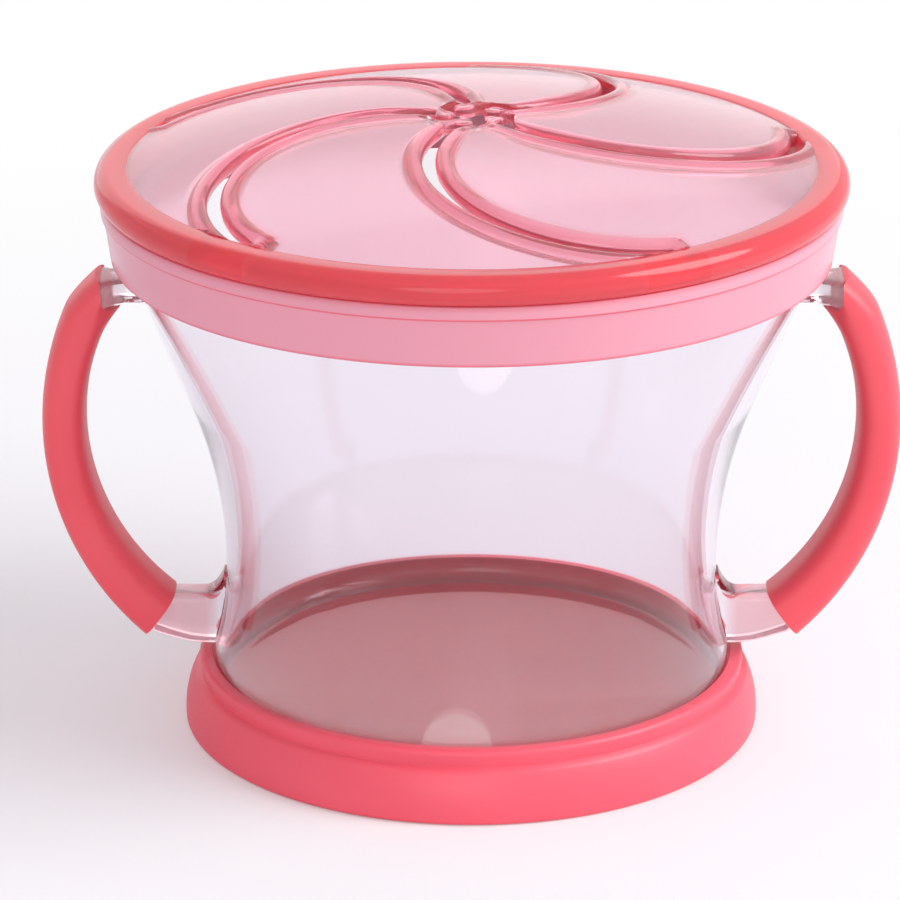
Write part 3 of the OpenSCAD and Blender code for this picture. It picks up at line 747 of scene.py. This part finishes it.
clearPlastic = clearFinish()
softCoral = softFinish("soft coral", 150.0, tint(255, 98, 108), tint(255, 88, 97), 0.46, 0.1)
softSheet = softFinish("soft sheet", 210.0, tint(254, 228, 238), tint(255, 192, 202), 0.84, 0.12)
milkyPink = ringFinish()
footRubber = rubberFinish("foot rubber", tint(247, 84, 104), tint(250, 92, 112), 0.42)
gripRubber = rubberFinish("grip rubber", tint(246, 78, 92), tint(249, 86, 98), 0.42)

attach(dress(softBead, softCoral, "lid_soft", "lid_rim"), "lid_body")
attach(dress(lidRing, milkyPink, "lid_plastic", "lid_skirt"), "lid_body")
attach(dress(body, clearPlastic, "clear_plastic", "cup"), "cup_body")
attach(dress(footRing, footRubber, "foot_rubber", "base_ring"), "cup_body")
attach(dress(rightGrip, gripRubber, "grip_rubber", "right_grip"), "cup_body")
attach(dress(leftGrip, gripRubber, "grip_rubber", "left_grip"), "cup_body")

# the hinge of each sheet lies across its root, on the line joining the ends of its two slits; here each sheet
# only takes its finish and has its place baked into its mesh
hinges = {j["child"]: j for j in frame["joints"] if j["name"].startswith("flap")}
for k, piece in enumerate(flaps):
    child = f"flap_{k + 1}_body"
    joint = hinges[child]
    place, axis = np.array(joint["pos_m"], float), np.array(joint["axis"], float)
    inward = np.cross(axis, (0, 0, 1.0))
    inward /= np.linalg.norm(inward)
    if inward @ place > 0:
        inward = -inward
    dress(piece, softSheet, "flap_soft", f"flap_{k + 1}")
    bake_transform(piece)
print("stage: finishes")


def pathShare(made):
    # 1 for what the camera sees directly or through the plastic, and less for what is mirrored,
    # so that a white veil doesn't take the colour out of the glossy pieces
    seen, mirrored, through = (made.node("ShaderNodeLightPath", out=f"Is {kind} Ray")
                               for kind in ("Camera", "Glossy", "Transmission"))
    return seen.orMore(mirrored * 0.35).orMore(through)


def floorFinish():
    made = newFinish("pale floor")
    plain = made.node("ShaderNodeBsdfDiffuse", inputs={
        "Color": made.blend(made.noise(3.0), tint(243, 241, 246), tint(247, 245, 249))})
    glow = made.node("ShaderNodeEmission", inputs={"Color": (1, 1, 1, 1), "Strength": 1.0})
    # the paper turns plain white away from the object and keeps the shadow beside it
    away = made.node("ShaderNodeVectorMath", {"operation": "LENGTH"}, {0: made.place()}, out="Value")
    share = made.span(away, 0.07, 0.3, 0.25, 1.0, "SMOOTHSTEP")
    mixed = made.node("ShaderNodeMixShader", inputs={0: pathShare(made) * share, 1: plain, 2: glow})
    return made.output(Surface=mixed)


reach = 3000.0
floor = meshPiece("floor", [(-reach, -reach, 0), (reach, -reach, 0), (reach, reach, 0), (-reach, reach, 0)],
                  [(0, 1, 2, 3)])
floor.data.materials.append(floorFinish())

scene.world = bpy.data.worlds.new("studio")
sky = Finish(scene.world)
softSky = sky.node("ShaderNodeBackground", inputs={"Color": (0.97, 0.96, 1.0, 1), "Strength": 0.6})
seenSky = sky.node("ShaderNodeBackground", inputs={"Color": (1, 1, 1, 1), "Strength": 1.0})
skyMix = sky.node("ShaderNodeMixShader", inputs={0: pathShare(sky), 1: softSky, 2: seenSky})
sky.output("World", Surface=skyMix)


studio = {
    "aim": (0, 0, 0.04),
    # place and width in metres, power in watts, colour
    "key": ((0.66, -0.16, 0.6), 0.6, 6.0, (1.0, 0.99, 0.985)),
    "fill": ((-0.1, -0.9, 0.3), 0.5, 1.2, (1, 1, 1)),
    "back": ((-0.2, 1.1, 0.4), 1.2, 2.2, (1, 1, 1)),
    "eye": (-0.002911, -0.650286, 0.276949),
    "lookDown": 0.352,      # in radians under the level
    "sensor": 36.0, "lens": 204.67,
}


def softLamp(name, place, size, power, colour):
    data = bpy.data.lights.new(name, "AREA")
    data.shape, data.size, data.energy, data.color = "DISK", size, power, colour
    lamp = bpy.data.objects.new(name, data)
    scene.collection.objects.link(lamp)
    lamp.location = place
    aim = np.array(place) - np.array(studio["aim"])
    aim /= np.linalg.norm(aim)
    lamp.rotation_euler = (math.acos(aim[2]), 0, math.atan2(aim[1], aim[0]) + math.pi / 2)


for name in ("key", "fill", "back"):
    softLamp(name, *studio[name])

view = bpy.data.cameras.new("camera")
view.sensor_width, view.lens = studio["sensor"], studio["lens"]
view.clip_start, view.clip_end = 0.05, 20
eye = bpy.data.objects.new("camera", view)
scene.collection.objects.link(eye)
eye.location = studio["eye"]
eye.rotation_euler = (math.pi / 2 - studio["lookDown"], 0, 0)
scene.camera = eye
print("stage: floor, light, camera")
